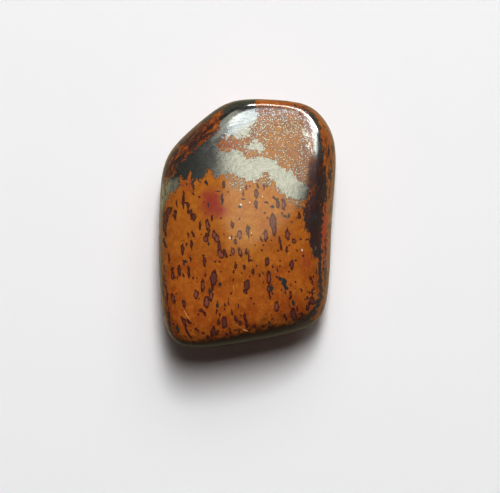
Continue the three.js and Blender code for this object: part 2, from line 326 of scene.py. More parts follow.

# Painted shade: the foot's rim, which is turned away from the light, darkened almost to black: outline,
# strength, and how softly it ends in millimetres.
PAINTED_SHADE_ZONES = [
    ([(150, 285), (160, 312), (166, 328), (174, 335), (188, 338), (205, 337), (230, 332), (260, 324),
      (282, 319), (296, 314), (306, 318), (312, 330), (300, 345), (250, 370), (180, 370),
      (145, 340)], 0.8, 1.6),
    ([(150, 312), (161, 318), (166, 330), (175, 338), (188, 341.5), (205, 340.5), (232, 335.5),
      (262, 329), (290, 322.5), (303, 316), (310, 318), (316, 330), (300, 345), (250, 370), (180, 370),
      (145, 340)], 1.3, 0.8),
]

# On the unseen sides the hematite lies in layers through the stone: direction, offset, half thickness.
IRON_LAYERS = [
    ((-0.42, 0.9, 0.12), 8.6, 1.1),
    ((1, 0.02, -0.1), 7.1, 0.35),
    ((0.9, 0.3, 0.35), -4.6, 0.35),
    ((-0.2, 0.95, 0.3), -4.0, 0.3),
]

# How far the streaks there lean to jasper.
UNDERSIDE_LEAN = -0.075

# Base colours, as display values from 0 to 255.
JASPER_LIGHT = (179, 109, 46)
JASPER_DEEP = (160, 86, 36)
JASPER_BROWN = (134, 72, 26)
JASPER_OCHRE = (196, 134, 50)
JASPER_GOLD = (178, 126, 54)
JASPER_RED = (150, 62, 64)
JASPER_EMBER = (184, 74, 36)
GRAIN_BED = (140, 110, 92)
GRAIN_GOLD = (176, 126, 64)
MAUVE = (112, 84, 88)
MAROON = (92, 42, 34)
# Painted shade: near-black colour for the foot's rim, where it is turned away from the light.
FOOT_PAINTED_SHADE = (44, 28, 20)
SPOT_EDGE = (70, 36, 40)
SPOT_PURPLE = (104, 66, 60)
SPOT_CORE = (144, 90, 74)
SLATE = (66, 63, 62)
PALE_GRAIN = (225, 222, 205)
# Pale colour of the scratches, on the nick in the foot's rim also a painted highlight.
SCRATCH_PALE_AND_HIGHLIGHT = (226, 160, 92)
IRON_DARK = (107, 108, 106)
IRON_GREY = (120, 120, 117)
IRON_PIT = (56, 52, 48)
IRON_DULL = (58, 46, 44)
VEIN_GREY = (92, 85, 82)
# Painted reflection: the pale colour that stands in for the lit paper mirrored in the hematite at the left
# edge.
IRON_PAINTED_REFLECTION = (196, 194, 176)

# The polish: how rough it is, and what hematite over the brow and a scratch add to that.
JASPER_GLOSS = 0.115
IRON_GLOSS = 0.11
IRON_FROST = 0.08
SCRATCH_ROUGHNESS = 0.25
JASPER_IOR = 1.4

# The relief, and the width of a hematite field's border, in millimetres.
RIPPLE_HEIGHT = 0.012
TOOTH_HEIGHT = 0.006
SCRATCH_DEPTH = 0.02
IRON_BORDER = 0.08

# Surroundings: paper, a window as soft panels, and a dim room. Lengths are in metres.
PAPER_WHITE = (240, 240, 241)
PAPER_MIRRORED = (180, 178, 157)
FLOOR_SIZE = 3.0
FLOOR_DROP = 0.00002
ROOM_COLOUR = (1.0, 0.97, 0.93, 1.0)
ROOM_RADIANCE = 0.05
ROOM_MIRRORED = 0.20
ROOM_SEEN = 0.6
PANEL_DISTANCE = 0.75

# Panels of light. Each faces the stone from an azimuth, counted from +Y towards +X, and an elevation, and is
# rolled clockwise by an angle. Its left, right, lower and upper edges are in metres from that centre line.
# The sky above the window is what casts the shadow. The window's glass is only seen mirrored in the polish.
PANELS = [
    ("sky", (6, 66, 0), (-0.07, 0.07, -0.18, 0.18), 21.0, (1.0, 1.0, 1.0), "diffuse"),
    ("sky_glow", (10, 50, 0), (-0.30, 0.30, -0.20, 0.20), 1.5, (1.0, 1.0, 1.0), "diffuse"),
    ("window", (5, 60, 25), (-0.15, 0.50, -0.10, 0.32), 3.0, (1.0, 0.99, 0.84), "glossy"),
    ("window_foot", (5, 60, 25), (-0.15, 0.50, -0.42, -0.10), 3.7, (0.91, 0.97, 1.02), "glossy"),
    ("left_pane", (-22, 34, 10), (-0.10, 0.09, -0.22, 0.16), 1.4, (1.0, 1.0, 0.90), "glossy"),
    ("sill", (25, 8, 0), (-0.45, 0.50, -0.07, 0.06), 17.0, (0.97, 0.99, 1.0), "glossy"),
    ("right_pane", (56, 30, 34), (-0.20, 0.14, -0.40, 0.20), 4.6, (0.97, 0.99, 1.0), "glossy"),
]


def camera_place():
    """Where the camera stands over the stone's frame, in millimetres."""
    per_mm = PIXELS_PER_MM * CAMERA_HEIGHT / (CAMERA_HEIGHT - RIM_HEIGHT)
    x = (VIEW_CENTRE_PX[0] - STONE_CENTRE_PX[0]) / per_mm
    y = -(VIEW_CENTRE_PX[1] - STONE_CENTRE_PX[1]) / per_mm
    return np.array([x, y, CAMERA_HEIGHT])


# Shape of the stone

def facet_planes():
    table = np.array(list(FACETS.values()), float)
    azimuth, elevation = np.radians(table[:, 0]), np.radians(table[:, 1])
    normals = np.stack([
        np.cos(elevation) * np.cos(azimuth),
        np.cos(elevation) * np.sin(azimuth),
        np.sin(elevation),
    ], axis=1)
    return normals, table[:, 2], table[:, 3]


def skin_distance(directions):
    """How far the blended facets lie from the middle along each direction."""
    normals, distances, sharpness = facet_planes()
    facing = directions @ normals.T
    reach = np.full(len(directions), FAR_OUTSIDE)
    for _ in range(SOLVER_STEPS):
        weights = np.exp(sharpness * (facing * reach[:, None] - distances))
        total = weights.sum(axis=1)
        slope = (weights * sharpness * facing).sum(axis=1)
        step = np.log(total) * total / slope
        reach -= step
        if np.abs(step).max() < SOLVER_GRAIN:
            break
    return reach


def hollow_depth(points):
    depth = np.zeros(len(points))
    for centre, reach, deepest in HOLLOWS.values():
        away = (((points - np.array(centre)) / np.array(reach)) ** 2).sum(axis=1)
        depth += deepest * np.exp(-away)
    return depth


def skin_points(directions):
    """Points of the skin in millimetres, cut off flat where the stone rests."""
    middle = np.array([0.0, 0.0, MIDDLE_HEIGHT])
    reach = skin_distance(directions)
    reach = reach - hollow_depth(directions * reach[:, None] + middle)
    down = np.minimum(directions[:, 2], -1e-9)
    reach = np.where(directions[:, 2] < 0, np.minimum(reach, MIDDLE_HEIGHT / -down), reach)
    points = directions * reach[:, None] + middle
    points[np.abs(points[:, 2]) < 1e-6, 2] = 0.0
    return points


def unit(vectors):
    return vectors / np.linalg.norm(vectors, axis=1)[:, None]


def icosahedron_grid(rows):
    """An icosahedron with each face divided into rows squared triangles: directions and triangles."""
    golden = (1 + math.sqrt(5)) / 2
    corners = unit(np.array([
        (-1, golden, 0), (1, golden, 0), (-1, -golden, 0), (1, -golden, 0),
        (0, -1, golden), (0, 1, golden), (0, -1, -golden), (0, 1, -golden),
        (golden, 0, -1), (golden, 0, 1), (-golden, 0, -1), (-golden, 0, 1),
    ], float))
    sides = [
        (0, 11, 5), (0, 5, 1), (0, 1, 7), (0, 7, 10), (0, 10, 11),
        (1, 5, 9), (5, 11, 4), (11, 10, 2), (10, 7, 6), (7, 1, 8),
        (3, 9, 4), (3, 4, 2), (3, 2, 6), (3, 6, 8), (3, 8, 9),
        (4, 9, 5), (2, 4, 11), (6, 2, 10), (8, 6, 7), (9, 8, 1),
    ]
    places = [(i, j) for i in range(rows + 1) for j in range(rows + 1 - i)]
    index = {place: n for n, place in enumerate(places)}
    small = []
    for i, j in places:
        if i + j < rows:
            small.append((index[i, j], index[i + 1, j], index[i, j + 1]))
        if i + j < rows - 1:
            small.append((index[i + 1, j], index[i + 1, j + 1], index[i, j + 1]))
    weights = np.array([(rows - i - j, i, j) for i, j in places], float) / rows
    small = np.array(small)
    points, faces = [], []
    for n, side in enumerate(sides):
        points.append(weights @ corners[list(side)])
        faces.append(small + n * len(places))
    points = unit(np.concatenate(points))
    faces = np.concatenate(faces)
    _, first, merged = np.unique(np.round(points, 6), axis=0, return_index=True, return_inverse=True)
    return points[first], merged.reshape(-1)[faces]


def split_faces(points, faces, chosen):
    """Splits the chosen triangles in four, and their neighbours as far as the shared edges need."""
    pairs = np.stack([faces[:, [0, 1]], faces[:, [1, 2]], faces[:, [2, 0]]], axis=1)
    low, high = pairs.min(axis=2), pairs.max(axis=2)
    keys = low.astype(np.int64) * len(points) + high
    wanted = np.unique(keys[chosen])
    ends = np.stack([wanted // len(points), wanted % len(points)], axis=1)
    middles = (points[ends[:, 0]] + points[ends[:, 1]]) / 2
    place = np.searchsorted(wanted, keys)
    place = np.minimum(place, len(wanted) - 1)
    cut = wanted[place] == keys
    mid = np.where(cut, place + len(points), -1)
    parts = [faces[cut.sum(axis=1) == 0]]
    whole = cut.all(axis=1)
    a, b, c = faces[whole].T
    ab, bc, ca = mid[whole].T
    parts += [np.stack(t, axis=1) for t in ((a, ab, ca), (ab, b, bc), (ca, bc, c), (ab, bc, ca))]
    for turn in range(3):
        order = [turn, (turn + 1) % 3, (turn + 2) % 3]
        corners, cuts, mids = faces[:, order], cut[:, order], mid[:, order]
        one = cuts[:, 0] & ~cuts[:, 1] & ~cuts[:, 2]
        a, b, c = corners[one].T
        m = mids[one, 0]
        parts += [np.stack([a, m, c], axis=1), np.stack([m, b, c], axis=1)]
        two = cuts[:, 0] & cuts[:, 1] & ~cuts[:, 2]
        a, b, c = corners[two].T
        m, n = mids[two, 0], mids[two, 1]
        parts += [np.stack(t, axis=1) for t in ((m, b, n), (a, m, n), (a, n, c))]
    return np.concatenate([points, middles]), np.concatenate(parts)


def face_normals(points, faces):
    a, b, c = points[faces[:, 0]], points[faces[:, 1]], points[faces[:, 2]]
    return unit(np.cross(b - a, c - a))


def stone_skin():
    """Points in millimetres and triangles of the fine skin."""
    directions, faces = icosahedron_grid(SKIN_ROWS)
    stretch = np.array([WIDTH, LENGTH, HEIGHT])
    directions = unit(directions * stretch)
    for _ in range(UPPER_SPLITS):
        points = skin_points(directions)
        upper = face_normals(points, faces)[:, 2] > UPPER_NORMAL_Z
        directions, faces = split_faces(directions, faces, upper)
        directions = unit(directions)
    points = skin_points(directions)
    centre = (points.min(axis=0) + points.max(axis=0)) / 2
    points[:, :2] -= centre[:2]
    return points, faces


# Where the marks fall on the skin

def plan_position(points):
    """Where each point is seen in the photograph, in its pixels, and how far it lies from the rim.

    Points under the widest level aren't seen. They are laid out past the rim by their way down the side,
    so that a mark can run on over the edge. Also gives the way round the rim, as a circle's coordinates.
    """
    camera = camera_place()
    nearer = (CAMERA_HEIGHT - points[:, 2]) / CAMERA_HEIGHT
    x = camera[0] + (points[:, 0] - camera[0]) / nearer
    y = camera[1] + (points[:, 1] - camera[1]) / nearer
    px = VIEW_CENTRE_PX[0] + (x - camera[0]) * PIXELS_PER_MM
    py = VIEW_CENTRE_PX[1] - (y - camera[1]) * PIXELS_PER_MM
    across, down = px - STONE_CENTRE_PX[0], STONE_CENTRE_PX[1] - py
    angle = np.arctan2(down, across)
    radius = np.hypot(across, down)
    around = (angle + math.pi) / (2 * math.pi) * RIM_STEPS
    slot = around.astype(int) % RIM_STEPS
    order = np.lexsort((radius, slot))
    last = np.searchsorted(slot[order], np.arange(RIM_STEPS), side="right") - 1
    widest = order[last]
    rim_radius, rim_height = smooth_ring(radius[widest]), smooth_ring(points[widest, 2])
    rim_r = ring_value(rim_radius, around - 0.5)
    rim_z = ring_value(rim_height, around - 0.5)
    below = np.clip(rim_z - points[:, 2], 0, None) * PIXELS_PER_MM
    inward = np.clip(rim_r - radius, 0, None)
    hidden = points[:, 2] < rim_z
    laid_out = np.where(hidden, rim_r + np.hypot(below, inward), radius)
    px = STONE_CENTRE_PX[0] + laid_out * np.cos(angle)
    py = STONE_CENTRE_PX[1] - laid_out * np.sin(angle)
    strides = np.hypot(np.diff(rim_radius), rim_radius[:-1] * 2 * math.pi / RIM_STEPS)
    arc = np.concatenate([[0], np.cumsum(strides)])
    whole = arc[-1] + rim_radius[0] * 2 * math.pi / RIM_STEPS
    turn = 2 * math.pi * ring_value(arc, around - 0.5, whole) / whole
    circle = whole / (2 * math.pi) / PIXELS_PER_MM
    rim_way = np.stack([
        circle * np.cos(turn),
        circle * np.sin(turn),
        (rim_r - laid_out) / PIXELS_PER_MM,
    ], axis=1)
    under = np.where(hidden, np.hypot(below, inward) / PIXELS_PER_MM, 0.0)
    return np.stack([px, py], axis=1), rim_way, under


def smooth_ring(values, reach=4):
    kernel = np.ones(2 * reach + 1) / (2 * reach + 1)
    return np.convolve(np.concatenate([values[-reach:], values, values[:reach]]), kernel, mode="valid")


def ring_value(values, around, whole=None):
    """Values held at even steps round a ring, read between the steps."""
    count = len(values)
    low = np.floor(around).astype(int)
    share = around - low
    after = values[(low + 1) % count]
    before = values[low % count]
    if whole is not None:
        after = after + np.where((low + 1) % count == 0, whole, 0)
        before = before - np.where(low < 0, whole, 0)
        after = after - np.where(low < 0, whole, 0)
    return before * (1 - share) + after * share


def polygon_depth(places, polygon):
    """How far each place is inside a polygon in millimetres, negative outside."""
    corners = np.array(polygon, float)
    x, y = places.T
    nearest = np.full(len(places), np.inf)
    inside = np.zeros(len(places), bool)
    for (x0, y0), (x1, y1) in zip(corners, np.roll(corners, -1, axis=0)):
        dx, dy = x1 - x0, y1 - y0
        share = np.clip(((x - x0) * dx + (y - y0) * dy) / (dx * dx + dy * dy), 0, 1)
        nearest = np.minimum(nearest, np.hypot(x - x0 - share * dx, y - y0 - share * dy))
        if dy != 0:
            inside ^= ((y0 > y) != (y1 > y)) & (x < dx * (y - y0) / dy + x0)
    return np.where(inside, nearest, -nearest) / PIXELS_PER_MM


def drift(places, size, seed):
    """A smooth pseudo-random wandering of each place, between about -1 and 1 each way."""
    random = np.random.RandomState(seed)
    x, y = places.T
    result = np.zeros((len(places), 2))
    for axis in range(2):
        for _ in range(7):
            way, phase = random.uniform(0, 2 * math.pi, 2)
            pitch = 2 * math.pi / (size * random.uniform(0.6, 1.7))
            result[:, axis] += np.sin(pitch * (x * math.cos(way) + y * math.sin(way)) + phase)
    return result / 3.2


def wander(points):
    """The points moved about smoothly in every direction, so that a flat layer bends and frays."""
    moved = points.copy()
    for axis, seed in enumerate((31, 32, 33)):
        others = np.delete(points, axis, axis=1)
        moved[:, axis] += 0.55 * drift(others, 4.0, seed)[:, 0] + 0.28 * drift(others, 1.3, seed)[:, 1]
    return moved


def spot_depth(places, strokes):
    """How far each place is inside the nearest spot in millimetres, negative outside.

    A spot is an oval round a stroke: its two ends and its half width.
    """
    x, y = places.T
    depth = np.full(len(places), -1.0)
    for x0, y0, x1, y1, half_width in strokes:
        run = math.hypot(x1 - x0, y1 - y0)
        way_x, way_y = ((x1 - x0) / run, (y1 - y0) / run) if run > 0 else (1.0, 0.0)
        dx, dy = x - (x0 + x1) / 2, y - (y0 + y1) / 2
        half_length = run / 2 + 0.95 * half_width
        along = (dx * way_x + dy * way_y) / half_length
        across = (dx * way_y - dy * way_x) / half_width
        depth = np.maximum(depth, (1.12 - np.hypot(along, across)) * half_width / PIXELS_PER_MM)
    return depth


def patch_share(places, patches):
    """How strongly the soft patches cover each place. A patch is its centre, its reach and its strength."""
    share = np.zeros(len(places))
    for (x, y), (reach_x, reach_y), strength in patches:
        away = ((places[:, 0] - x) / reach_x) ** 2 + ((places[:, 1] - y) / reach_y) ** 2
        share = np.maximum(share, strength * np.exp(-away))
    return share


def soft_step(values, low, high):
    share = np.clip((values - low) / (high - low), 0, 1)
    return share * share * (3 - 2 * share)


def plane_depth(points, direction, offset, half_width):
    """How far each point is inside a layer of the stone."""
    direction = np.array(direction, float) / np.linalg.norm(direction)
    return half_width - np.abs(points @ direction - offset)


def iron_depth(points, ragged, seen):
    """How far each point is inside the hematite: the placed fields, and layers where they aren't seen."""
    placed = polygon_depth(ragged, IRON_HEAD)
    for polygon in IRON_PATCHES + [IRON_VEIN]:
        placed = np.maximum(placed, polygon_depth(ragged, polygon))
    layers = np.full(len(points), -1.0)
    wandering = wander(points)
    for direction, offset, half_width in IRON_LAYERS:
        layers = np.maximum(layers, plane_depth(wandering, direction, offset, half_width))
    return np.clip(placed, -1, 1) * seen + np.clip(layers, -1, 1) * (1 - seen)


def grain_share(ragged):
    """The share of hematite specks at each place."""
    grain = np.zeros(len(ragged))
    for polygon, share in GRAINY_ZONES:
        inside = soft_step(polygon_depth(ragged, polygon), -0.22, 0.25)
        grain = np.maximum(grain, share * inside)
    return grain


def streak_fields(places, ragged, seen):
    """How far each place leans to hematite, how streaked it is, and how dull its hematite is."""
    lean = np.full(len(ragged), UNDERSIDE_LEAN)
    streaked = 0.55 * (1 - seen)
    below_brow = soft_step(places[:, 1], 150, 162)
    dull = soft_step(polygon_depth(ragged, IRON_VEIN), -0.25, 0.1) * below_brow
    for polygon, zone_lean, strength in STREAKED_ZONES:
        depth = polygon_depth(ragged, polygon)
        inside = soft_step(depth, -0.12, 0.12) * strength * seen
        lean = np.where(inside > 0.01, lean + (zone_lean - lean) * inside, lean)
        streaked = np.maximum(streaked, inside)
        dull = np.maximum(dull, soft_step(depth, -0.12, 0.3))
    return lean, streaked, dull * seen + 0.6 * (1 - seen)


def painted_shade_share(places, under):
    """How much painted shade each place gets, darkening the foot's rim that is turned away from the light.
    It ends in a frayed edge just under the rim.
    """
    painted_shade = np.zeros(len(places))
    for polygon, strength, softness in PAINTED_SHADE_ZONES:
        inside = soft_step(polygon_depth(places, polygon), -softness, softness)
        painted_shade = np.maximum(painted_shade, strength * inside)
    frayed = under + 0.7 * drift(places, 20.0, 14)[:, 0] + 0.35 * drift(places, 7.0, 15)[:, 0]
    return painted_shade * (1 - soft_step(frayed, -0.2, 1.8) * soft_step(under, 0.0, 0.4))


def skin_fields(points):
    """Every marking as a number at each point of the skin."""
    places, rim_way, under = plan_position(points)
    seen = 1 - soft_step(under, 0.0, 1.6)
    ragged = places + 1.1 * drift(places, 6.0, 11) + 0.55 * drift(places, 2.6, 12)
    shaken = places + 0.5 * drift(places, 4.5, 13)
    lean, streaked, dull = streak_fields(places, ragged, seen)
    # Painted reflection at the left edge, where the hematite is also kept fully metal.
    painted_reflection = soft_step(polygon_depth(ragged, PAINTED_REFLECTION_PATCH), -0.25, 0.35) * seen
    rings = spot_depth(shaken, RING_SPOTS)
    return {
        "iron": iron_depth(points, ragged, seen),
        "grain": grain_share(ragged),
        "lean": lean,
        "streaked": streaked,
        "vein": soft_step(polygon_depth(ragged, IRON_VEIN), -0.7, -0.3) * seen,
        "frost": soft_step(places[:, 1], 132, 146),
        "painted_reflection": painted_reflection,
        "dull": dull * (1 - painted_reflection),
        "red": soft_step(patch_share(ragged, RED_PATCHES), 0.1, 0.9),
        "ember": patch_share(ragged, EMBER_PATCHES),
        "gold": patch_share(places, GOLD_PATCHES),
        "mauve": patch_share(ragged, MAUVE_PATCHES),
        "painted_shade": painted_shade_share(places, under),
        "purple": np.maximum(spot_depth(shaken, PURPLE_SPOTS), rings),
        "core": rings - RING_WALL,
        "slate": spot_depth(shaken, SLATE_SPOTS),
        "pale": spot_depth(places, PALE_GRAINS),
        "scratch_and_highlight": spot_depth(places, SCRATCHES_AND_HIGHLIGHTS),
        "seen": seen,
        "rim_way": rim_way,
    }


def make_stone():
    """The visible stone: the fine skin with its markings as attributes."""
    points, faces = stone_skin()
    mesh = bpy.data.meshes.new("polished_stone")
    mesh.from_pydata((points * MM).tolist(), [], faces.tolist())
    mesh.update()
    mesh.shade_smooth()
    for name, values in skin_fields(points).items():
        kind = "FLOAT_VECTOR" if values.ndim == 2 else "FLOAT"
        layer = mesh.attributes.new(name, kind, "POINT")
        layer.data.foreach_set("vector" if values.ndim == 2 else "value", values.astype(np.float32).ravel())
    stone = bpy.data.objects.new("polished_stone", mesh)
    bpy.context.scene.collection.objects.link(stone)
    mesh.materials.append(stone_material())
    return stone


# Material

def linear(red, green, blue):
    """A colour read off as 0 to 255 display values, as the linear values that the shader takes."""
    parts = [v / 255 for v in (red, green, blue)]
    return tuple(v / 12.92 if v <= 0.04045 else ((v + 0.055) / 1.055) ** 2.4 for v in parts) + (1.0,)


class Nodes:
    """Short names for the nodes that a material or the world is made of."""

    def __init__(self, owner):
        owner.use_nodes = True
        self.tree = owner.node_tree
        self.tree.nodes.clear()

    def add(self, kind, **settings):
        node = self.tree.nodes.new(kind)
        for name, value in settings.items():
            setattr(node, name, value)
        return node

    def feed(self, socket, value):
        if isinstance(value, bpy.types.NodeSocket):
            self.tree.links.new(value, socket)
        else:
            socket.default_value = value

    def field(self, name, output="Fac"):
        return self.add("ShaderNodeAttribute", attribute_name=name).outputs[output]

    def maths(self, operation, *values):
        node = self.add("ShaderNodeMath", operation=operation)
        for socket, value in zip(node.inputs, values):
            self.feed(socket, value)
        return node.outputs[0]

    def plus(self, a, b):
        return self.maths("ADD", a, b)

    def minus(self, a, b):
        return self.maths("SUBTRACT", a, b)

    def times(self, a, b):
        return self.maths("MULTIPLY", a, b)

    def times_plus(self, a, b, c):
        return self.maths("MULTIPLY_ADD", a, b, c)

    def higher(self, a, b):
        return self.maths("MAXIMUM", a, b)

    def within_one(self, value):
        """A value kept between -1 and 1."""
        return self.higher(self.maths("MINIMUM", value, 1.0), -1.0)

    def scaled(self, vector, factors):
        node = self.add("ShaderNodeVectorMath", operation="MULTIPLY")
        self.feed(node.inputs[0], vector)
        self.feed(node.inputs[1], factors)
        return node.outputs[0]

    def noise(self, vector, scale, detail=2.0, roughness=0.5, warp=0.0):
        node = self.add("ShaderNodeTexNoise")
        self.feed(node.inputs["Vector"], vector)
        node.inputs["Scale"].default_value = scale
        node.inputs["Detail"].default_value = detail
        node.inputs["Roughness"].default_value = roughness
        node.inputs["Distortion"].default_value = warp
        return node.outputs["Fac"]

    def cells(self, vector, scale):
        node = self.add("ShaderNodeTexVoronoi", feature="F1")
        self.feed(node.inputs["Vector"], vector)
        node.inputs["Scale"].default_value = scale
        return node.outputs

    def step(self, value, low, high, to_low=0.0, to_high=1.0):
        """A smooth step of a value between two levels."""
        node = self.add("ShaderNodeMapRange", interpolation_type="SMOOTHSTEP")
        names = ("Value", "From Min", "From Max", "To Min", "To Max")
        for name, number in zip(names, (value, low, high, to_low, to_high)):
            self.feed(node.inputs[name], number)
        return node.outputs["Result"]

    def blend(self, share, first, second):
        """A mix of two colours, each a socket or display values."""
        node = self.add("ShaderNodeMix", data_type="RGBA")
        self.feed(node.inputs["Factor"], share)
        for socket, colour in zip(node.inputs[6:8], (first, second)):
            self.feed(socket, linear(*colour) if isinstance(colour, tuple) else colour)
        return node.outputs[2]

    def show(self, shader, kind="ShaderNodeOutputMaterial"):
        """Makes a shader what the material or the world shows."""
        self.feed(self.add(kind).inputs["Surface"], shader)


class StoneNodes(Nodes):
    """The stone's nodes, with the noises that several parts of its material share."""

    def __init__(self, material):
        super().__init__(material)
        position = self.add("ShaderNodeTexCoord").outputs["Object"]
        self.place = self.scaled(position, (1 / MM, 1 / MM, 1 / MM))
        self.rim_way = self.field("rim_way", "Vector")
        self.fine = self.minus(self.noise(self.place, 5.5, 3.0, 0.65), 0.5)
        self.grit = self.minus(self.noise(self.place, 9.0, 2.0, 0.6), 0.5)
        self.flecks = self.plus(self.grit, self.times(self.fine, 0.8))
        self.mottle = self.noise(self.place, 1.7, 5.0, 0.68)
        self.clouds = self.noise(self.scaled(self.place, (1.0, 0.55, 1.0)), 3.4, 4.0, 0.75)

    def streaks(self, along, across, detail, roughness, warp=0.0):
        """Noise drawn out along the rim."""
        return self.noise(self.scaled(self.rim_way, (along, along, across)), 1.0, detail, roughness, warp)

    def shaken(self, depth, amount):
        """A depth with its border broken up by the fine noise."""
        return self.plus(depth, self.times(self.fine, amount))


def field_level(n):
    """How surely a place is hematite by the placed fields, from -1 to 1, with a ragged border."""
    vein = n.field("vein")
    rough = n.plus(n.times(n.fine, 0.8), n.times(n.grit, 0.35))
    drawn_out = n.minus(n.streaks(0.6, 6.0, 4.0, 0.6), 0.5)
    border = n.plus(n.times(rough, n.times_plus(vein, -0.7, 1.0)), n.times(drawn_out, n.times(vein, 1.6)))
    return n.within_one(n.maths("DIVIDE", n.plus(n.field("iron"), border), IRON_BORDER))


def streak_level(n):
    """How surely a place is hematite by the streaks along the rim, from -1 to 1."""
    streaks = n.minus(n.streaks(0.8, 4.0, 5.0, 0.68, 0.5), 0.5)
    streaks = n.plus(streaks, n.times_plus(n.fine, 0.42, n.times(n.grit, 0.2)))
    return n.within_one(n.times(n.plus(streaks, n.field("lean")), 10.0))


def speck_level(n, grain):
    """How surely a place is hematite by its tiny grains. More grain fills more of the cells."""
    dots = n.cells(n.place, 5.6)
    kept = n.minus(n.times(grain, 2.0), dots["Color"])
    dot_size = n.step(kept, -0.1, 0.3, 0.0, 0.43)
    level = n.shaken(n.minus(dot_size, dots["Distance"]), 0.2)
    share = n.step(grain, 0.02, 0.12)
    return n.plus(n.times(n.within_one(n.times(level, 7.0)), share), n.minus(share, 1.0))


def iron_level(n, grain):
    """How surely a place is hematite, from -1 to 1, by fields, streaks and grains together."""
    streaked = n.field("streaked")
    level = n.plus(n.times(field_level(n), n.minus(1.0, streaked)), n.times(streak_level(n), streaked))
    return n.higher(level, speck_level(n, grain))


def purple_depth(n):
    """How far a place is inside a purple spot. Under the rim, cells take the place of the strokes."""
    seen = n.field("seen")
    placed = n.plus(n.field("purple"), n.times_plus(n.fine, 0.16, n.times(n.grit, 0.08)))
    cells = n.cells(n.scaled(n.place, (1.0, 0.5, 0.7)), 0.95)
    cell_size = n.step(cells["Color"], 0.35, 0.8, 0.0, 0.24)
    strewn = n.shaken(n.minus(cell_size, cells["Distance"]), 0.2)
    return n.higher(n.plus(placed, n.minus(seen, 1.0)), n.minus(strewn, seen))


def jasper_ground(n):
    """Jasper in broad drifts of orange, mottled, clouded and strewn with crumbs."""
    broad = n.minus(n.noise(n.place, 0.45, 3.0, 0.55), 0.5)
    jasper = n.blend(n.step(broad, -0.14, 0.14), JASPER_DEEP, JASPER_LIGHT)
    jasper = n.blend(n.step(n.mottle, 0.38, 0.66, 0.0, 0.5), jasper, JASPER_BROWN)
    jasper = n.blend(n.step(n.clouds, 0.5, 0.7, 0.0, 0.55), jasper, JASPER_OCHRE)
    golden = n.times(n.field("gold"), n.step(n.mottle, 0.3, 0.6, 0.85, 0.5))
    jasper = n.blend(golden, jasper, JASPER_GOLD)
    jasper = n.blend(n.step(n.grit, 0.02, 0.26, 0.0, 0.55), jasper, JASPER_BROWN)
    jasper = n.blend(n.step(n.grit, -0.03, -0.24, 0.0, 0.4), jasper, JASPER_OCHRE)
    jasper = n.blend(n.step(n.flecks, -0.22, -0.4, 0.0, 0.7), jasper, SPOT_EDGE)
    crumbs = n.cells(n.place, 1.9)
    crumb_size = n.step(crumbs["Color"], 0.46, 0.78, 0.0, 0.25)
    crumb = n.step(n.shaken(n.minus(crumb_size, crumbs["Distance"]), 0.3), -0.02, 0.06)
    return n.blend(n.times(crumb, 0.85), jasper, SPOT_EDGE)


def jasper_zones(n, jasper, grain):
    """The painted shade on the foot's rim, the bed of the grains with its border, and the red and orange-red
    patches.
    """
    # Painted shade: the foot's rim darkened towards near black, mottled.
    painted_shade = n.plus(n.field("painted_shade"), n.times(n.minus(n.mottle, 0.5), 1.6))
    jasper = n.blend(n.step(painted_shade, 0.15, 1.0, 0.0, 0.92), jasper, FOOT_PAINTED_SHADE)
    bed_share = n.times(n.step(grain, 0.1, 0.45, 0.0, 0.9), n.step(n.mottle, 0.35, 0.6, 0.45, 1.0))
    bed = n.blend(n.step(n.clouds, 0.42, 0.58), GRAIN_BED, GRAIN_GOLD)
    jasper = n.blend(bed_share, jasper, bed)
    mauve = n.times(n.field("mauve"), n.step(n.mottle, 0.36, 0.62, 1.0, 0.6))
    jasper = n.blend(mauve, jasper, MAUVE)
    red = n.times(n.field("red"), n.step(n.mottle, 0.34, 0.56, 1.0, 0.72))
    jasper = n.blend(red, jasper, JASPER_RED)
    return n.blend(n.field("ember"), jasper, JASPER_EMBER)


def jasper_spots(n, jasper, scratch_and_highlight):
    """The purple spots with their rings and cores, the slate spots, the pale grains and the scratches, whose
    pale colour on the nick in the foot's rim is a painted highlight.
    """
    depth = purple_depth(n)
    core = n.step(n.shaken(n.field("core"), 0.12), -0.03, 0.06)
    spot = n.blend(n.step(depth, 0.055, 0.15), SPOT_EDGE, SPOT_PURPLE)
    spot = n.blend(n.times(core, 0.8), spot, SPOT_CORE)
    jasper = n.blend(n.step(depth, -0.03, 0.05, 0.0, 0.92), jasper, spot)
    slate = n.step(n.shaken(n.field("slate"), 0.16), -0.03, 0.05)
    jasper = n.blend(slate, jasper, SLATE)
    jasper = n.blend(n.step(n.field("pale"), -0.02, 0.03), jasper, PALE_GRAIN)
    # Scratches paler, on the nick in the foot's rim as a painted highlight.
    return n.blend(scratch_and_highlight, jasper, SCRATCH_PALE_AND_HIGHLIGHT)


def iron_colour(n, dull):
    """Grey hematite with dark pits, browner where it is streaked with jasper, and with a painted reflection
    of the lit paper as a paler patch at the left edge.
    """
    iron = n.blend(n.step(n.streaks(1.2, 5.0, 3.0, 0.6), 0.35, 0.65), IRON_DARK, IRON_GREY)
    near_border = n.step(n.field("iron"), 0.55, 0.05, 0.0, 0.1)
    pit_level = n.minus(n.shaken(n.grit, 0.6), near_border)
    iron = n.blend(n.step(pit_level, -0.13, -0.27, 0.0, 0.8), iron, IRON_PIT)
    veins = n.streaks(0.5, 6.0, 4.0, 0.7, 0.4)
    veined = n.blend(n.step(veins, 0.42, 0.5), MAROON, IRON_DULL)
    veined = n.blend(n.step(veins, 0.56, 0.68), veined, VEIN_GREY)
    iron = n.blend(n.times(dull, 0.9), iron, veined)
    # Painted reflection: a pale patch at the left edge in place of the lit paper mirrored there.
    painted_reflection = n.times(n.field("painted_reflection"), n.step(n.flecks, -0.22, 0.1, 0.25, 1.0))
    return n.blend(painted_reflection, iron, IRON_PAINTED_REFLECTION)


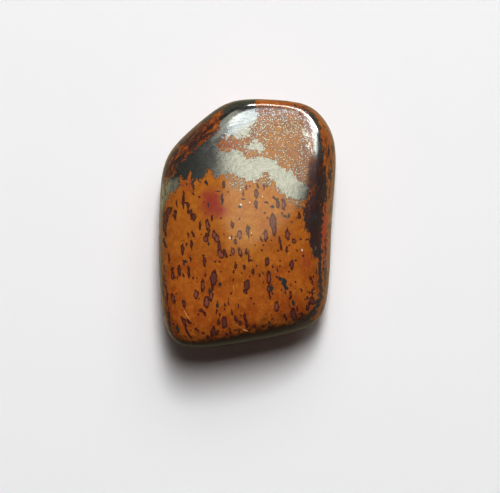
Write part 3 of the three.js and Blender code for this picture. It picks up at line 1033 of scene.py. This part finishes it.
def stone_roughness(n, metal, scratch_and_highlight):
    """Glossy, a little less so over the brow's hematite and in the scratches."""
    jasper = n.step(n.mottle, 0.3, 0.7, JASPER_GLOSS, JASPER_GLOSS + 0.05)
    roughness = n.plus(jasper, n.times(metal, IRON_GLOSS - JASPER_GLOSS))
    frost = n.times(n.times(metal, n.field("frost")), IRON_FROST)
    return n.plus(n.plus(roughness, frost), n.times(scratch_and_highlight, SCRATCH_ROUGHNESS))


def stone_relief(n, grain, metal, scratch_and_highlight):
    """A slow ripple of the polish, a fine tooth where hematite and jasper mix, and the scratches."""
    ripple = n.times(n.noise(n.place, 0.9, 1.0), RIPPLE_HEIGHT)
    tooth_share = n.plus(n.times_plus(n.step(grain, 0.02, 0.3), 0.15, 0.25), n.times(metal, 0.4))
    tooth = n.times(n.times(n.noise(n.place, 7.0, 2.0, 0.6), TOOTH_HEIGHT), tooth_share)
    bump = n.add("ShaderNodeBump")
    bump.inputs["Strength"].default_value = 1.0
    bump.inputs["Distance"].default_value = MM
    n.feed(bump.inputs["Height"], n.plus(n.plus(ripple, tooth), n.times(scratch_and_highlight, -SCRATCH_DEPTH)))
    return bump.outputs["Normal"]


def stone_material():
    """Polished jasper and hematite, told apart by the skin's markings and broken up by fine noise."""
    material = bpy.data.materials.new("polished_jasper_and_hematite")
    n = StoneNodes(material)
    grain, dull = n.field("grain"), n.field("dull")
    level = iron_level(n, grain)
    metal = n.step(level, -0.15, 0.45)
    fringe = n.step(level, -1.0, -0.1, 0.0, 0.8)
    scratch_and_highlight = n.step(n.field("scratch_and_highlight"), -0.02, 0.03)
    jasper = jasper_zones(n, jasper_ground(n), grain)
    jasper = jasper_spots(n, n.blend(fringe, jasper, MAROON), scratch_and_highlight)

    shader = n.add("ShaderNodeBsdfPrincipled")
    n.feed(shader.inputs["Base Color"], n.blend(metal, jasper, iron_colour(n, dull)))
    n.feed(shader.inputs["Metallic"], n.times(metal, n.times_plus(dull, -0.8, 0.9)))
    n.feed(shader.inputs["Roughness"], stone_roughness(n, metal, scratch_and_highlight))
    n.feed(shader.inputs["Normal"], stone_relief(n, grain, metal, scratch_and_highlight))
    shader.inputs["IOR"].default_value = JASPER_IOR
    n.show(shader.outputs["BSDF"])
    return material


# Surroundings

def paper_material():
    """Plain pale paper. The polish mirrors it darker than it is, so that the stone's rim stays dark."""
    material = bpy.data.materials.new("pale_paper")
    n = Nodes(material)
    shader = n.add("ShaderNodeBsdfPrincipled")
    mirrored = n.add("ShaderNodeLightPath").outputs["Is Glossy Ray"]
    n.feed(shader.inputs["Base Color"], n.blend(mirrored, PAPER_WHITE, PAPER_MIRRORED))
    shader.inputs["Roughness"].default_value = 0.9
    shader.inputs["Specular IOR Level"].default_value = 0.0
    n.show(shader.outputs["BSDF"])
    return material


def make_floor():
    half = FLOOR_SIZE / 2
    mesh = bpy.data.meshes.new("floor")
    corners = [(-half, -half, 0), (half, -half, 0), (half, half, 0), (-half, half, 0)]
    mesh.from_pydata(corners, [], [(0, 1, 2, 3)])
    floor = bpy.data.objects.new("floor", mesh)
    floor.location.z = -FLOOR_DROP
    bpy.context.scene.collection.objects.link(floor)
    mesh.materials.append(paper_material())


def towards(azimuth, elevation):
    """The direction at an azimuth counted from +Y towards +X, in degrees, and an elevation."""
    turn, rise = math.radians(azimuth), math.radians(elevation)
    return Vector((math.sin(turn) * math.cos(rise), math.cos(turn) * math.cos(rise), math.sin(rise)))


def make_panel(name, aim, edges, radiance, colour, seen_by):
    """A soft rectangular light that faces the stone."""
    azimuth, elevation, roll = aim
    left, right, lower, upper = edges
    away = towards(azimuth, elevation)
    across = towards(azimuth + 90, 0)
    upward = across.cross(away)
    turn = math.radians(roll)
    side = across * math.cos(turn) - upward * math.sin(turn)
    rise = across * math.sin(turn) + upward * math.cos(turn)
    lamp = bpy.data.lights.new(name, "AREA")
    lamp.shape = "RECTANGLE"
    lamp.size, lamp.size_y = right - left, upper - lower
    lamp.energy = radiance * lamp.size * lamp.size_y * math.pi
    lamp.color = colour
    panel = bpy.data.objects.new(name, lamp)
    place = away * PANEL_DISTANCE + side * (left + right) / 2 + rise * (lower + upper) / 2
    panel.matrix_world = Matrix.Translation(place) @ Matrix((-side, rise, away)).transposed().to_4x4()
    panel.visible_camera = False
    panel.visible_diffuse = seen_by == "diffuse"
    panel.visible_glossy = seen_by == "glossy"
    bpy.context.scene.collection.objects.link(panel)


def make_world():
    """A dim room, more of which is mirrored than lights the stone. Past the paper it looks pale."""
    world = bpy.data.worlds.new("dim_room")
    n = Nodes(world)
    path = n.add("ShaderNodeLightPath").outputs
    level = n.times_plus(path["Is Glossy Ray"], ROOM_MIRRORED - ROOM_RADIANCE, ROOM_RADIANCE)
    level = n.times_plus(path["Is Camera Ray"], ROOM_SEEN - ROOM_RADIANCE, level)
    background = n.add("ShaderNodeBackground")
    background.inputs["Color"].default_value = ROOM_COLOUR
    n.feed(background.inputs["Strength"], level)
    n.show(background.outputs["Background"], "ShaderNodeOutputWorld")
    bpy.context.scene.world = world


def make_camera():
    place = camera_place()
    camera = bpy.data.cameras.new("camera")
    camera.sensor_width = SENSOR_WIDTH
    field = FRAME_WIDTH_PX / PIXELS_PER_MM
    camera.lens = SENSOR_WIDTH * CAMERA_HEIGHT / field
    camera.clip_start = NEAREST_SEEN
    viewer = bpy.data.objects.new("camera", camera)
    viewer.location = Vector(place) * MM
    bpy.context.scene.collection.objects.link(viewer)
    bpy.context.scene.camera = viewer


make_camera()
make_world()
make_floor()
for panel in PANELS:
    make_panel(*panel)
bpy.context.scene.view_settings.view_transform = "Standard"
bpy.context.scene.view_settings.look = "High Contrast"

stone = make_stone()
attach(stone, "root")
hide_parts("mugglestone")
